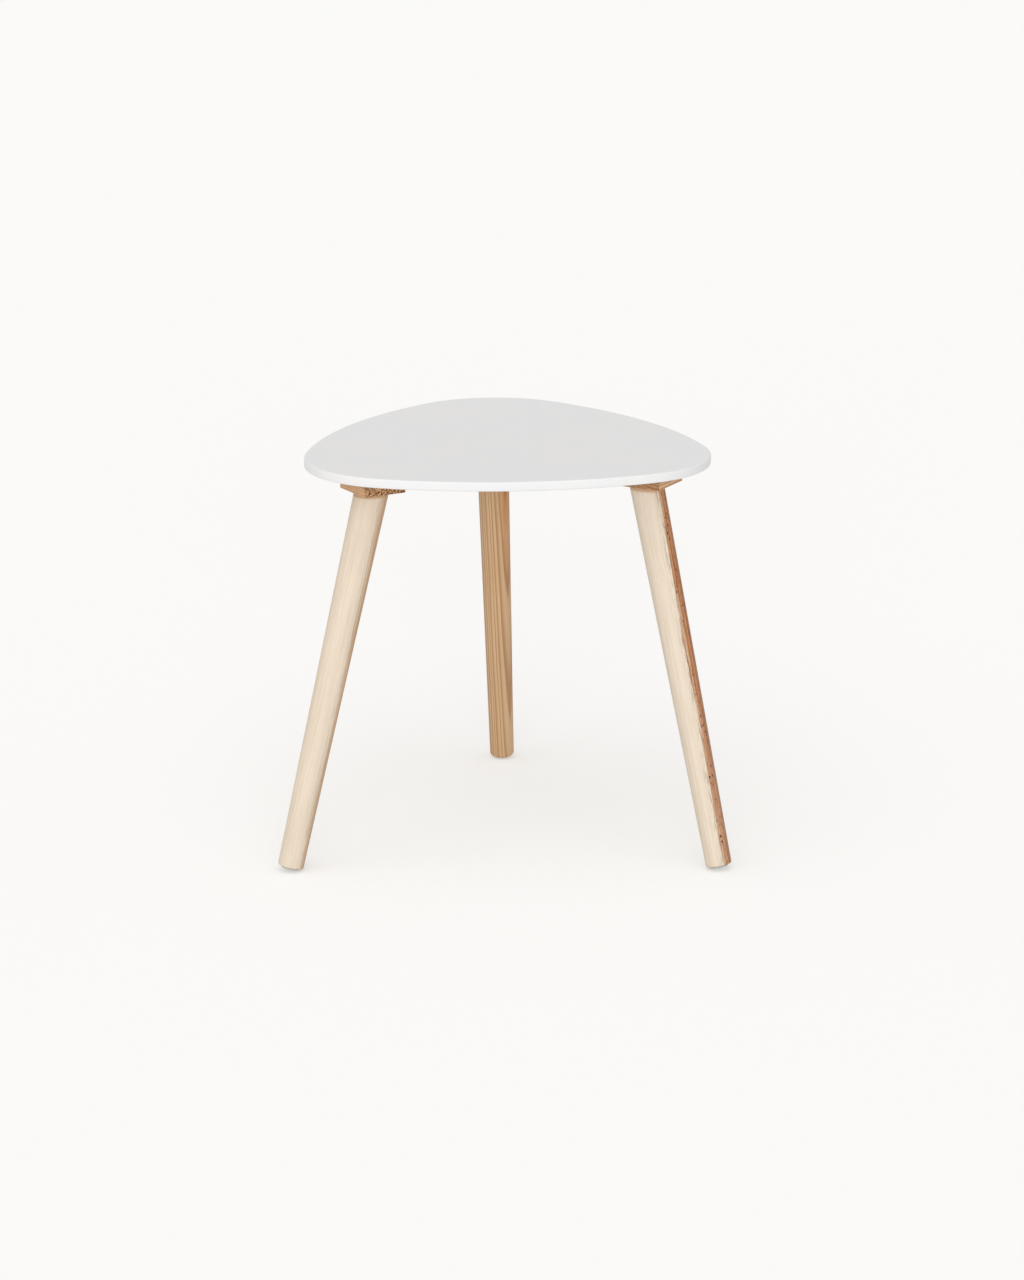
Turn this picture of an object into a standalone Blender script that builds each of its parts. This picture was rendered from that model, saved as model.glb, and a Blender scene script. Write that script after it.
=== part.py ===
"""Side table: a rounded triangular lacquered top on three splayed, tapered pine legs.

Units are metres and +Z is up. The table stands on z = 0 with its back leg towards +Y, and the
origin lies on the floor under the middle of its bounding box. Everything under the top repeats
at three stations, one for each rounded corner.
"""

import math

import bmesh
import bpy
from mathutils import Matrix, Vector

# Whole table
TABLE_HEIGHT = 0.450
STATIONS = {"left": 210, "right": 330, "back": 90}  # azimuths in degrees
CONTACT_GAP = 0.0003  # between pieces that rest on, or sit in, one another
CUT_OVERRUN = 0.002  # how far a cutter reaches past the face it opens

# Top: MDF board whose outline is three corner arcs joined by three flatter side arcs
TOP_THICKNESS = 0.010
TOP_CORNER_RADIUS = 0.1145
TOP_CORNER_REACH = 0.1230  # from the table's middle to each corner arc's centre
TOP_SIDE_RADIUS = 0.430
TOP_EDGE_ROUND = 0.0012

# Mounting blocks: sawn pine pads screwed under the top
BLOCK_LENGTH = 0.050  # along the corner's direction
BLOCK_WIDTH = 0.0555
BLOCK_HEIGHT = 0.020
BLOCK_EDGE_BREAK = 0.0006
BLOCK_TURN = -3.7  # degrees off the corner's direction
BLOCK_SETOUT = 0.002  # block's middle beyond the leg bolt
BLOCK_SIDESTEP = 0.005  # block's middle beside the leg bolt

# Legs: round, tapered, cut level at the top and square at the foot
LEG_REACH = 0.172  # from the table's middle to the leg bolt
LEG_SPLAY = 13.65  # degrees from upright
LEG_TURN = -10.7  # degrees from the corner's direction to the way the leg leans
LEG_TOP_DIAMETER = 0.0372
LEG_FOOT_DIAMETER = 0.0285
FOOT_EDGE_ROUND = 0.0015

# Felt pads under the feet
PAD_DIAMETER = 0.0200
PAD_THICKNESS = 0.0020
PAD_EDGE_ROUND = 0.0004

# Hanger bolts: wood thread down in the leg, machine thread up in the insert
BOLT_DIAMETER = 0.008
BOLT_IN_LEG = 0.032
BOLT_IN_BLOCK = 0.0145
BOLT_PLAIN = 0.004  # unthreaded length either side of the joint
BOLT_THREAD_DEPTH = 0.0007
BOLT_WOOD_DEPTH = 0.0011
BOLT_POINT = 0.003

# Threaded inserts, let into the blocks from below
INSERT_DIAMETER = 0.0115
INSERT_LENGTH = 0.0135
INSERT_RIB_DEPTH = 0.0007
INSERT_FLANGE_DIAMETER = 0.0150
INSERT_FLANGE_THICKNESS = 0.0015
INSERT_HOLE_DEPTH = 0.0155

# Countersunk wood screws, four to a block
SCREW_DIAMETER = 0.0035
SCREW_LENGTH = 0.025
SCREW_HEAD_DIAMETER = 0.0070
SCREW_HEAD_RIM = 0.0004
SCREW_THREAD_LENGTH = 0.014
SCREW_THREAD_DEPTH = 0.0006
SCREW_POINT = 0.0025
SCREW_INSET = 0.0065  # from the block's sides to the screw
SCREW_SLOT_WIDTH = 0.0008
SCREW_SLOT_SPAN = 0.0038
SCREW_SLOT_DEPTH = 0.0013
SCREW_TIP_ROOM = 0.0008  # hole left beyond the screw's point

# Facets
CORNER_STEPS = 22
SIDE_STEPS = 16
LEG_STEPS = 40
HOLE_STEPS = 20
INSERT_STEPS = 20
BOLT_STEPS = 14
SCREW_STEPS = 12
ROUND_STEPS = 3
BOLT_RIDGES = 6
WOOD_RIDGES = 5
SCREW_RIDGES = 5
INSERT_RIBS = 3
SMOOTH_ANGLE = math.radians(32)
BEVEL_ANGLE = math.radians(60)
FLAT_ANGLE = math.radians(1)

# Levels and directions worked out from the sizes above
SPLAY = math.radians(LEG_SPLAY)
TOP_UNDERSIDE = TABLE_HEIGHT - TOP_THICKNESS
BLOCK_UNDERSIDE = TOP_UNDERSIDE - CONTACT_GAP - BLOCK_HEIGHT
LEG_TOP_LEVEL = BLOCK_UNDERSIDE - CONTACT_GAP
PAD_FLAT_RADIUS = PAD_DIAMETER / 2 - PAD_EDGE_ROUND
PAD_BASE_LEVEL = PAD_FLAT_RADIUS * math.sin(SPLAY) + PAD_EDGE_ROUND * (1 - math.cos(SPLAY))
PAD_DROP = (LEG_TOP_LEVEL - PAD_BASE_LEVEL) / math.cos(SPLAY)
LEG_LENGTH = PAD_DROP - PAD_THICKNESS - CONTACT_GAP
MERGE = 0.00001


def clear_scene():
    for obj in list(bpy.data.objects):
        bpy.data.objects.remove(obj, do_unlink=True)


def new_collection(name):
    collection = bpy.data.collections.new(name)
    bpy.context.scene.collection.children.link(collection)
    return collection


def new_material(name, colour, roughness, metallic=0.0):
    material = bpy.data.materials.new(name)
    material.use_nodes = True
    shader = material.node_tree.nodes["Principled BSDF"]
    shader.inputs["Base Color"].default_value = (*colour, 1.0)
    shader.inputs["Roughness"].default_value = roughness
    shader.inputs["Metallic"].default_value = metallic
    material.diffuse_color = (*colour, 1.0)
    return material


def new_object(name, data, collection, parent=None, location=(0, 0, 0), rotation=(0, 0, 0)):
    obj = bpy.data.objects.new(name, data)
    collection.objects.link(obj)
    obj.parent = parent
    obj.location = location
    obj.rotation_euler = rotation
    return obj


def make_cutter(obj):
    obj.hide_render = True
    obj.display_type = "WIRE"
    return obj


def cut(obj, cutter):
    modifier = obj.modifiers.new("Cut by " + cutter.name, "BOOLEAN")
    modifier.operation = "DIFFERENCE"
    modifier.solver = "EXACT"
    modifier.object = cutter


def baked(obj, name, material):
    """The object's evaluated mesh in its own axes, welded, and smooth except at its real edges."""
    bpy.context.view_layer.update()
    graph = bpy.context.evaluated_depsgraph_get()
    mesh = bpy.data.meshes.new_from_object(obj.evaluated_get(graph))
    mesh.name = name
    shape = bmesh.new()
    shape.from_mesh(mesh)
    bmesh.ops.remove_doubles(shape, verts=shape.verts, dist=MERGE)
    shape.to_mesh(mesh)
    shape.free()
    mesh.shade_smooth()
    mesh.set_sharp_from_angle(angle=SMOOTH_ANGLE)
    mesh.materials.clear()
    mesh.materials.append(material)
    bpy.data.objects.remove(obj, do_unlink=True)
    return mesh


def turned(name, profile, steps, collection, closed=False):
    """A profile of (radius, height) points spun about Z. It runs down its outer side."""
    mesh = bpy.data.meshes.new(name)
    edges = [(i, i + 1) for i in range(len(profile) - 1)]
    if closed:
        edges.append((len(profile) - 1, 0))
    mesh.from_pydata([(radius, 0, height) for radius, height in profile], edges, [])
    obj = new_object(name, mesh, collection)
    spin = obj.modifiers.new("Spin", "SCREW")
    spin.axis = "Z"
    spin.steps = steps
    spin.render_steps = steps
    spin.use_merge_vertices = True
    spin.merge_threshold = MERGE
    return obj


def rod(name, radius, low, high, steps, collection):
    return turned(name, [(0, high), (radius, high), (radius, low), (0, low)], steps, collection)


def box(name, size, collection, middle=(0, 0, 0)):
    mesh = bpy.data.meshes.new(name)
    shape = bmesh.new()
    bmesh.ops.create_cube(shape, size=1.0, matrix=Matrix.Translation(middle) @ Matrix.Diagonal((*size, 1)))
    shape.to_mesh(mesh)
    shape.free()
    return new_object(name, mesh, collection)


def rounding(radius, height, size, start, end):
    """Points of a quarter round about (radius, height), from one angle in degrees to the other."""
    angles = [math.radians(start + (end - start) * i / ROUND_STEPS) for i in range(ROUND_STEPS + 1)]
    return [(radius + size * math.cos(a), height + size * math.sin(a)) for a in angles]


def ridges(crest, root, top, bottom, count):
    """A thread's section, as rings from the top down."""
    pitch = (top - bottom) / count
    points = [(root, top)]
    for i in range(count):
        points.append((crest, top - pitch * (i + 1 / 2)))
        points.append((root, top - pitch * (i + 1)))
    return points


def top_outline():
    """Points of the top's edge, anticlockwise: a corner arc at each station, then a side arc."""
    sixth = math.radians(60)
    half_chord = TOP_CORNER_REACH * math.sin(sixth)
    chord_offset = TOP_CORNER_REACH * math.cos(sixth)
    side_centre = math.sqrt((TOP_SIDE_RADIUS - TOP_CORNER_RADIUS) ** 2 - half_chord**2) - chord_offset
    side_half = math.atan2(half_chord, side_centre + chord_offset)
    corner_half = sixth - side_half
    points = []
    for azimuth in sorted(STATIONS.values()):
        corner = math.radians(azimuth)
        side = corner + sixth
        arcs = (
            (TOP_CORNER_REACH, corner, TOP_CORNER_RADIUS, corner, corner_half, CORNER_STEPS),
            (-side_centre, side, TOP_SIDE_RADIUS, side, side_half, SIDE_STEPS),
        )
        for reach, towards, radius, middle, half, steps in arcs:
            for i in range(steps):
                angle = middle + half * (2 * i / steps - 1)
                x = reach * math.cos(towards) + radius * math.cos(angle)
                y = reach * math.sin(towards) + radius * math.sin(angle)
                points.append((x, y))
    return points


def screw_places():
    """Screw positions in a block's own axes, about the block's middle."""
    x = BLOCK_LENGTH / 2 - SCREW_INSET
    y = BLOCK_WIDTH / 2 - SCREW_INSET
    return [(x, y), (-x, y), (-x, -y), (x, -y)]


def block_matrix():
    """The block's axes, at the middle of its lower face, in its station's axes."""
    place = Matrix.Translation((BLOCK_SETOUT, BLOCK_SIDESTEP, CONTACT_GAP))
    return place @ Matrix.Rotation(math.radians(BLOCK_TURN), 4, "Z")


def station_matrix(azimuth):
    """A station's axes: at the leg bolt on the leg's top face, +X towards the table's corner."""
    turn = Matrix.Rotation(math.radians(azimuth), 4, "Z")
    return turn @ Matrix.Translation((LEG_REACH, 0, LEG_TOP_LEVEL))


def top_mesh(cutters, material):
    """The board: filled outline, rounded edges, and a blind pilot hole for each screw."""
    curve = bpy.data.curves.new("top outline", "CURVE")
    curve.dimensions = "2D"
    curve.fill_mode = "BOTH"
    curve.extrude = TOP_THICKNESS / 2
    outline = top_outline()
    spline = curve.splines.new("POLY")
    spline.points.add(len(outline) - 1)
    for point, (x, y) in zip(spline.points, outline):
        point.co = (x, y, 0, 1)
    spline.use_cyclic_u = True
    middle = TABLE_HEIGHT - TOP_THICKNESS / 2
    guide = new_object("top outline", curve, cutters, location=(0, 0, middle))
    bpy.context.view_layer.update()
    graph = bpy.context.evaluated_depsgraph_get()
    board_mesh = bpy.data.meshes.new_from_object(guide.evaluated_get(graph))
    board = new_object("board", board_mesh, cutters)
    board.matrix_world = guide.matrix_world
    bpy.data.objects.remove(guide, do_unlink=True)
    shape = bmesh.new()
    shape.from_mesh(board_mesh)
    bmesh.ops.remove_doubles(shape, verts=shape.verts, dist=MERGE)
    bmesh.ops.dissolve_limit(
        shape, angle_limit=FLAT_ANGLE, verts=shape.verts, edges=shape.edges, use_dissolve_boundaries=False
    )
    shape.to_mesh(board_mesh)
    shape.free()
    edge = board.modifiers.new("Rounded edge", "BEVEL")
    edge.width = TOP_EDGE_ROUND
    edge.segments = ROUND_STEPS
    edge.limit_method = "ANGLE"
    edge.angle_limit = BEVEL_ANGLE
    board_matrix = board.matrix_world.copy()

    depth = SCREW_LENGTH - BLOCK_HEIGHT - CONTACT_GAP + SCREW_TIP_ROOM
    for station, azimuth in STATIONS.items():
        for i, (x, y) in enumerate(screw_places()):
            hole = rod(
                f"pilot {station} {i + 1}",
                SCREW_DIAMETER / 2 + CONTACT_GAP,
                BLOCK_HEIGHT + CONTACT_GAP - CUT_OVERRUN,
                BLOCK_HEIGHT + CONTACT_GAP + depth,
                SCREW_STEPS,
                cutters,
            )
            in_block = Matrix.Translation((x, y, 0))
            hole.matrix_world = station_matrix(azimuth) @ block_matrix() @ in_block
            cut(board, make_cutter(hole))
    mesh = baked(board, "table_top", material)
    mesh.transform(board_matrix)
    return mesh


def block_mesh(cutters, material):
    """A pine pad with a stepped hole for the insert and four countersunk screw holes."""
    block = box("block", (BLOCK_LENGTH, BLOCK_WIDTH, BLOCK_HEIGHT), cutters, (0, 0, BLOCK_HEIGHT / 2))
    edges = block.modifiers.new("Broken edges", "BEVEL")
    edges.width = BLOCK_EDGE_BREAK
    edges.segments = 1

    sleeve = INSERT_DIAMETER / 2 + CONTACT_GAP
    flange = INSERT_FLANGE_DIAMETER / 2 + CONTACT_GAP
    step = INSERT_FLANGE_THICKNESS + CONTACT_GAP
    profile = [(0, INSERT_HOLE_DEPTH), (sleeve, INSERT_HOLE_DEPTH), (sleeve, step), (flange, step)]
    profile += [(flange, -CUT_OVERRUN), (0, -CUT_OVERRUN)]
    hole = turned("insert hole", profile, INSERT_STEPS, cutters)
    bolt = block_matrix().inverted() @ Vector((0, 0, CONTACT_GAP))
    hole.location = bolt
    cut(block, make_cutter(hole))

    shank = SCREW_DIAMETER / 2 + CONTACT_GAP
    head = SCREW_HEAD_DIAMETER / 2 + CONTACT_GAP
    rim = SCREW_HEAD_RIM + CONTACT_GAP
    past = BLOCK_HEIGHT + CUT_OVERRUN
    profile = [(0, past), (shank, past), (shank, rim + head - shank), (head, rim)]
    profile += [(head, -CUT_OVERRUN), (0, -CUT_OVERRUN)]
    for i, (x, y) in enumerate(screw_places()):
        hole = turned(f"screw hole {i + 1}", profile, SCREW_STEPS, cutters)
        hole.location = (x, y, 0)
        cut(block, make_cutter(hole))
    return baked(block, "mounting_block", material)


def leg_mesh(cutters, material):
    """A leg along its own axis: origin at the middle of its level top face, foot towards -Z."""
    spare = LEG_TOP_DIAMETER * math.tan(SPLAY)
    taper = (LEG_TOP_DIAMETER - LEG_FOOT_DIAMETER) / 2 / LEG_LENGTH
    foot = LEG_FOOT_DIAMETER / 2
    head = LEG_TOP_DIAMETER / 2 + taper * spare
    profile = [(0, spare), (head, spare)]
    profile += rounding(foot - FOOT_EDGE_ROUND, FOOT_EDGE_ROUND - LEG_LENGTH, FOOT_EDGE_ROUND, 0, -90)
    profile.append((0, -LEG_LENGTH))
    leg = turned("leg", profile, LEG_STEPS, cutters)

    waste = (2 * LEG_TOP_DIAMETER, 2 * LEG_TOP_DIAMETER, LEG_TOP_DIAMETER)
    level = box("level cut", waste, cutters, (0, 0, LEG_TOP_DIAMETER / 2))
    level.rotation_euler = (0, SPLAY, 0)
    cut(leg, make_cutter(level))

    bore = rod(
        "bolt bore",
        BOLT_DIAMETER / 2 + CONTACT_GAP,
        -BOLT_IN_LEG - SCREW_TIP_ROOM,
        CUT_OVERRUN,
        HOLE_STEPS,
        cutters,
    )
    bore.rotation_euler = (0, SPLAY, 0)
    cut(leg, make_cutter(bore))
    return baked(leg, "leg", material)


def pad_mesh(cutters, material):
    """A felt disc under the foot, its upper face at the top."""
    profile = [(0, 0)]
    profile += rounding(PAD_FLAT_RADIUS, -PAD_EDGE_ROUND, PAD_EDGE_ROUND, 90, 0)
    profile += rounding(PAD_FLAT_RADIUS, PAD_EDGE_ROUND - PAD_THICKNESS, PAD_EDGE_ROUND, 0, -90)
    profile.append((0, -PAD_THICKNESS))
    return baked(turned("pad", profile, LEG_STEPS, cutters), "foot_pad", material)


def bolt_mesh(cutters, material):
    """A double-ended bolt, upright, with the joint's face at its origin."""
    crest = BOLT_DIAMETER / 2
    machine_root = crest - BOLT_THREAD_DEPTH
    wood_root = crest - BOLT_WOOD_DEPTH
    profile = [(0, BOLT_IN_BLOCK)]
    profile += ridges(crest, machine_root, BOLT_IN_BLOCK, BOLT_PLAIN, BOLT_RIDGES)
    profile += [(crest, BOLT_PLAIN - BOLT_THREAD_DEPTH), (crest, BOLT_WOOD_DEPTH - BOLT_PLAIN)]
    profile += ridges(crest, wood_root, -BOLT_PLAIN, BOLT_POINT - BOLT_IN_LEG, WOOD_RIDGES)
    profile.append((0, -BOLT_IN_LEG))
    return baked(turned("bolt", profile, BOLT_STEPS, cutters), "hanger_bolt", material)


def insert_mesh(cutters, material):
    """A ribbed sleeve with a flange at its lower end, open right through."""
    bore = BOLT_DIAMETER / 2 + CONTACT_GAP
    crest = INSERT_DIAMETER / 2
    flange = INSERT_FLANGE_DIAMETER / 2
    profile = [(bore, INSERT_LENGTH)]
    profile += ridges(crest, crest - INSERT_RIB_DEPTH, INSERT_LENGTH, INSERT_FLANGE_THICKNESS, INSERT_RIBS)
    profile += [(flange, INSERT_FLANGE_THICKNESS), (flange, 0), (bore, 0)]
    return baked(turned("insert", profile, INSERT_STEPS, cutters, closed=True), "threaded_insert", material)


def screw_mesh(cutters, material):
    """A wood screw, head down at its origin and point up, with a cross recess."""
    head = SCREW_HEAD_DIAMETER / 2
    crest = SCREW_DIAMETER / 2
    root = crest - SCREW_THREAD_DEPTH
    thread_low = SCREW_LENGTH - SCREW_THREAD_LENGTH
    profile = [(0, SCREW_LENGTH)]
    profile += ridges(crest, root, SCREW_LENGTH - SCREW_POINT, thread_low, SCREW_RIDGES)
    profile += [(root, SCREW_HEAD_RIM + head - root), (head, SCREW_HEAD_RIM), (head, 0), (0, 0)]
    screw = turned("screw", profile, SCREW_STEPS, cutters)
    sizes = ((SCREW_SLOT_SPAN, SCREW_SLOT_WIDTH), (SCREW_SLOT_WIDTH, SCREW_SLOT_SPAN))
    for i, size in enumerate(sizes):
        slot = box(f"slot {i + 1}", (*size, 2 * SCREW_SLOT_DEPTH), cutters)
        cut(screw, make_cutter(slot))
    return baked(screw, "block_screw", material)


def centre_on_floor(root, collection):
    """Moves the table so that its bounding box stands centred on the origin."""
    bpy.context.view_layer.update()
    corners = []
    for obj in collection.objects:
        if obj.type == "MESH":
            corners += [obj.matrix_world @ vertex.co for vertex in obj.data.vertices]
    for axis in (0, 1):
        values = [corner[axis] for corner in corners]
        root.location[axis] -= (min(values) + max(values)) / 2
    root.location.z -= min(corner.z for corner in corners)


def build():
    clear_scene()
    table = new_collection("side_table")
    cutters = new_collection("cutters")
    cutters.hide_render = True

    lacquer = new_material("white lacquer", (0.80, 0.80, 0.80), 0.45)
    pine = new_material("pine leg", (0.80, 0.66, 0.48), 0.6)
    sawn_pine = new_material("pine block", (0.58, 0.36, 0.20), 0.7)
    zinc = new_material("zinc plated steel", (0.62, 0.62, 0.60), 0.35, 1.0)
    felt = new_material("grey felt", (0.35, 0.35, 0.35), 0.95)

    root = new_object("side_table_root", None, table)
    new_object("table_top", top_mesh(cutters, lacquer), table, root)
    block = block_mesh(cutters, sawn_pine)
    leg = leg_mesh(cutters, pine)
    pad = pad_mesh(cutters, felt)
    bolt = bolt_mesh(cutters, zinc)
    insert = insert_mesh(cutters, zinc)
    screw = screw_mesh(cutters, zinc)

    lean = (0, -SPLAY, math.radians(LEG_TURN))
    lean_matrix = Matrix.Rotation(lean[2], 4, "Z") @ Matrix.Rotation(lean[1], 4, "Y")
    pad_place = lean_matrix @ Vector((0, 0, PAD_THICKNESS - PAD_DROP))
    for station, azimuth in STATIONS.items():
        at = station_matrix(azimuth)
        holder = new_object(f"station_{station}", None, table, root, at.to_translation(), at.to_euler())
        block_at = block_matrix()
        block_turn = block_at.to_euler()
        new_object(f"mounting_block_{station}", block, table, holder, block_at.to_translation(), block_turn)
        new_object(f"leg_{station}", leg, table, holder, rotation=lean)
        new_object(f"foot_pad_{station}", pad, table, holder, pad_place, lean)
        new_object(f"hanger_bolt_{station}", bolt, table, holder)
        new_object(f"threaded_insert_{station}", insert, table, holder, (0, 0, CONTACT_GAP))
        for i, (x, y) in enumerate(screw_places()):
            screw_at = block_at @ Vector((x, y, 0))
            new_object(f"block_screw_{station}_{i + 1}", screw, table, holder, screw_at, block_turn)
    centre_on_floor(root, table)


build()
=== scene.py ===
import math

import bmesh
import bpy
from mathutils import Matrix, Vector


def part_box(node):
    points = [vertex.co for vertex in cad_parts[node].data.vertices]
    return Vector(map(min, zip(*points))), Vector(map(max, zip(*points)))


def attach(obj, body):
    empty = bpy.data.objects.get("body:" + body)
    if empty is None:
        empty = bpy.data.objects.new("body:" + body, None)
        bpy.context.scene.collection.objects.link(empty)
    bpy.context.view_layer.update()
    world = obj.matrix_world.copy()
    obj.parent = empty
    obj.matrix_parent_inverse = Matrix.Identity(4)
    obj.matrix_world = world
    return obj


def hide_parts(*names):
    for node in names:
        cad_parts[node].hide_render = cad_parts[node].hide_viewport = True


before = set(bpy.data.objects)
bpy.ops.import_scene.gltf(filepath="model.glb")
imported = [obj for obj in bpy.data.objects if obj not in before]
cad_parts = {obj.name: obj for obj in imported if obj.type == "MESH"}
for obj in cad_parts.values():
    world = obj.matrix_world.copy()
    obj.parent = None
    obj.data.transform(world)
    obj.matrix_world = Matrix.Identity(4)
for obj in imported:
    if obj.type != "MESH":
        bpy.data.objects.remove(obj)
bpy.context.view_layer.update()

millimetre = 0.001
overrun = 0.002                # how far a cutter reaches past the face that it opens
cutterSteps = 24
sameLevel = 0.00002            # heights closer than this are the same
mergeWithin = 0.000002         # points closer than this are one

# Where the three legs stand, as directions from the table's middle
stations = {"left": 210, "right": 330, "back": 90}

boardSizes = {
    "cornerRadius": 0.1145,
    "cornerReach": 0.1230,     # middle of the table to a corner arc's centre
    "sideRadius": 0.430,
    "cornerSteps": 40,
    "sideSteps": 36,
    "edgeRound": 0.0012,
    "edgeSegments": 5,
    "rimInset": 0.004,
    "seam": 0.00002,           # the gap that may be left where the last arc meets the first
}

boardLow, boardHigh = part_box("table_top")
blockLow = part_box("mounting_block_back")[0]
tableAxis = Vector((
    (boardLow.x + boardHigh.x) / 2,
    boardHigh.y - boardSizes["cornerReach"] - boardSizes["cornerRadius"],
    0,
))


# Small helpers, each one a few clicks in the viewport

def deselectAll():
    if bpy.context.mode != "OBJECT":
        bpy.ops.object.mode_set(mode="OBJECT")
    bpy.ops.object.select_all(action="DESELECT")


def editObject(obj):
    deselectAll()
    bpy.context.view_layer.objects.active = obj
    obj.select_set(True)
    bpy.ops.object.mode_set(mode="EDIT")
    bpy.ops.mesh.select_mode(type="VERT")      # a lone point or wire can't stay selected in face mode
    bpy.ops.mesh.select_all(action="DESELECT")


def pick(obj, kind, test):  # kind is VERT, EDGE or FACE
    bpy.ops.mesh.select_mode(type=kind)
    bpy.ops.mesh.select_all(action="DESELECT")
    mesh = bmesh.from_edit_mesh(obj.data)
    items = {"VERT": mesh.verts, "EDGE": mesh.edges, "FACE": mesh.faces}[kind]
    for item in items:
        if test(item):
            item.select_set(True)
    mesh.select_flush_mode()
    bmesh.update_edit_mesh(obj.data)


def edgeAt(level):
    return lambda edge: all(abs(v.co.z - level) < sameLevel for v in edge.verts)


def closeEdit():
    bpy.ops.object.mode_set(mode="OBJECT")


def named(name):
    obj = bpy.context.active_object
    obj.name = name
    obj.data.name = name
    return obj


def selectOnly(obj):
    deselectAll()
    bpy.context.view_layer.objects.active = obj
    obj.select_set(True)


def applyPlace(obj):  # the place goes into the mesh
    selectOnly(obj)
    bpy.ops.object.transform_apply(location=True, rotation=True, scale=True)


def smoothed(obj, degrees):
    selectOnly(obj)
    bpy.ops.object.shade_smooth_by_angle(angle=math.radians(degrees))


def combine(obj, other, operation="DIFFERENCE"):  # UNION joins, INTERSECT trims to a shape
    selectOnly(obj)
    change = obj.modifiers.new("Combine", "BOOLEAN")
    change.operation = operation
    change.solver = "EXACT"
    change.object = other
    bpy.ops.object.modifier_apply(modifier=change.name)
    bpy.data.objects.remove(other, do_unlink=True)


def startPoint(name, radius, height):  # a mesh of one selected point, open in edit mode
    deselectAll()
    bpy.ops.mesh.primitive_plane_add(size=0.01, location=(0, 0, 0))
    obj = named(name)
    editObject(obj)
    bpy.ops.mesh.select_all(action="SELECT")
    bpy.ops.mesh.merge(type="CENTER")
    bpy.ops.transform.translate(value=(radius, 0, height))
    return obj


def drawSection(name, points):  # a section drawn by extruding a point, as (radius, height)
    radius, height = points[0]
    obj = startPoint(name, radius, height)
    for nextRadius, nextHeight in points[1:]:
        step = (nextRadius - radius, 0, nextHeight - height)
        bpy.ops.mesh.extrude_region_move(TRANSFORM_OT_translate={"value": step})
        radius, height = nextRadius, nextHeight
    return obj


def closeShell():  # merges seams and poles, then turns every face outwards
    bpy.ops.mesh.select_all(action="SELECT")
    bpy.ops.mesh.remove_doubles(threshold=mergeWithin)
    bpy.ops.mesh.normals_make_consistent(inside=False)


def turnedPiece(name, points, steps):
    obj = drawSection(name, points)
    bpy.ops.mesh.select_all(action="SELECT")
    bpy.ops.mesh.spin(steps=steps, angle=2 * math.pi, center=(0, 0, 0), axis=(0, 0, 1))
    closeShell()
    closeEdit()
    return obj


def threadedRod(name, thread, low, high, steps):
    # one turn of the thread's section wound up the axis, then trimmed square at both ends
    pitch, root, crest = thread["pitch"], thread["root"], thread["crest"]
    rise = pitch * thread["share"] / 2
    land = rise * 0.2
    start = low - 1.537 * pitch                # an odd share, so that no corner lies on a cut
    obj = drawSection(name, (
        (root, start - pitch / 2), (root, start - rise), (crest, start - land),
        (crest, start + land), (root, start + rise), (root, start + pitch / 2),
    ))
    closeEdit()
    selectOnly(obj)
    wind = obj.modifiers.new("Wind", "SCREW")
    wind.axis = "Z"
    wind.screw_offset = pitch
    wind.iterations = math.ceil((high - low) / pitch) + 3
    wind.steps = steps
    wind.render_steps = steps
    bpy.ops.object.modifier_apply(modifier=wind.name)
    editObject(obj)
    bpy.ops.mesh.select_all(action="SELECT")
    bpy.ops.mesh.remove_doubles(threshold=mergeWithin)
    for level, direction in ((low, -1), (high, 1)):
        bpy.ops.mesh.select_all(action="SELECT")
        bpy.ops.mesh.bisect(
            plane_co=(0, 0, level), plane_no=(0, 0, direction), use_fill=True, clear_outer=True,
            threshold=0.0000002,               # far below a thread's own detail
        )
    closeShell()
    closeEdit()
    return obj


def placedCopy(master, name, place):  # a copy with its own mesh, placed by moving the mesh
    obj = master.copy()
    obj.data = master.data.copy()
    obj.name = name
    obj.data.name = name
    obj.data.transform(place)
    bpy.context.scene.collection.objects.link(obj)
    return obj


def finishPiece(obj, material, slot, *nodes):
    obj.data.materials.clear()
    obj.data.materials.append(material)
    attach(obj, "root")
    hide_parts(*nodes)


# Node helpers

def newMaterial(name):
    material = bpy.data.materials.new(name)
    material.use_nodes = True
    material.node_tree.nodes.clear()
    return material


def put(tree, kind, inputs=None, **settings):
    node = tree.nodes.new("ShaderNode" + kind)
    for key, value in settings.items():
        setattr(node, key, value)
    for key, value in (inputs or {}).items():
        if isinstance(value, bpy.types.NodeSocket):
            tree.links.new(value, node.inputs[key])
        else:
            node.inputs[key].default_value = value
    return node


def calc(tree, operation, a, b=0.0, clamp=False):
    return put(tree, "Math", {0: a, 1: b}, operation=operation, use_clamp=clamp).outputs[0]


def ramp(tree, factor, stops):
    node = put(tree, "ValToRGB", {"Fac": factor})
    elements = node.color_ramp.elements
    while len(elements) < len(stops):
        elements.new(0.5)
    for element, (position, colour) in zip(elements, stops):
        element.position = position
        element.color = colour if len(colour) == 4 else (*colour, 1)
    return node.outputs["Color"]


def grey(value):
    return (value, value, value, 1)


def mixColour(tree, factor, a, b, blend="MIX"):
    node = put(tree, "Mix", data_type="RGBA", blend_type=blend, clamp_factor=True)
    sockets = {"Factor_Float": factor, "A_Color": a, "B_Color": b}
    for socket in node.inputs:
        if socket.identifier in sockets:
            value = sockets[socket.identifier]
            if isinstance(value, bpy.types.NodeSocket):
                tree.links.new(value, socket)
            else:
                socket.default_value = value
    return next(s for s in node.outputs if s.identifier == "Result_Color")


def fromSrgb(red, green, blue):
    def linear(value):  # the standard's own curve
        value = value / 255
        return value / 12.92 if value <= 0.04045 else ((value + 0.055) / 1.055) ** 2.4
    return (linear(red), linear(green), linear(blue), 1)


def closeTree(tree, shader):
    put(tree, "OutputMaterial", {"Surface": shader})


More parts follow.
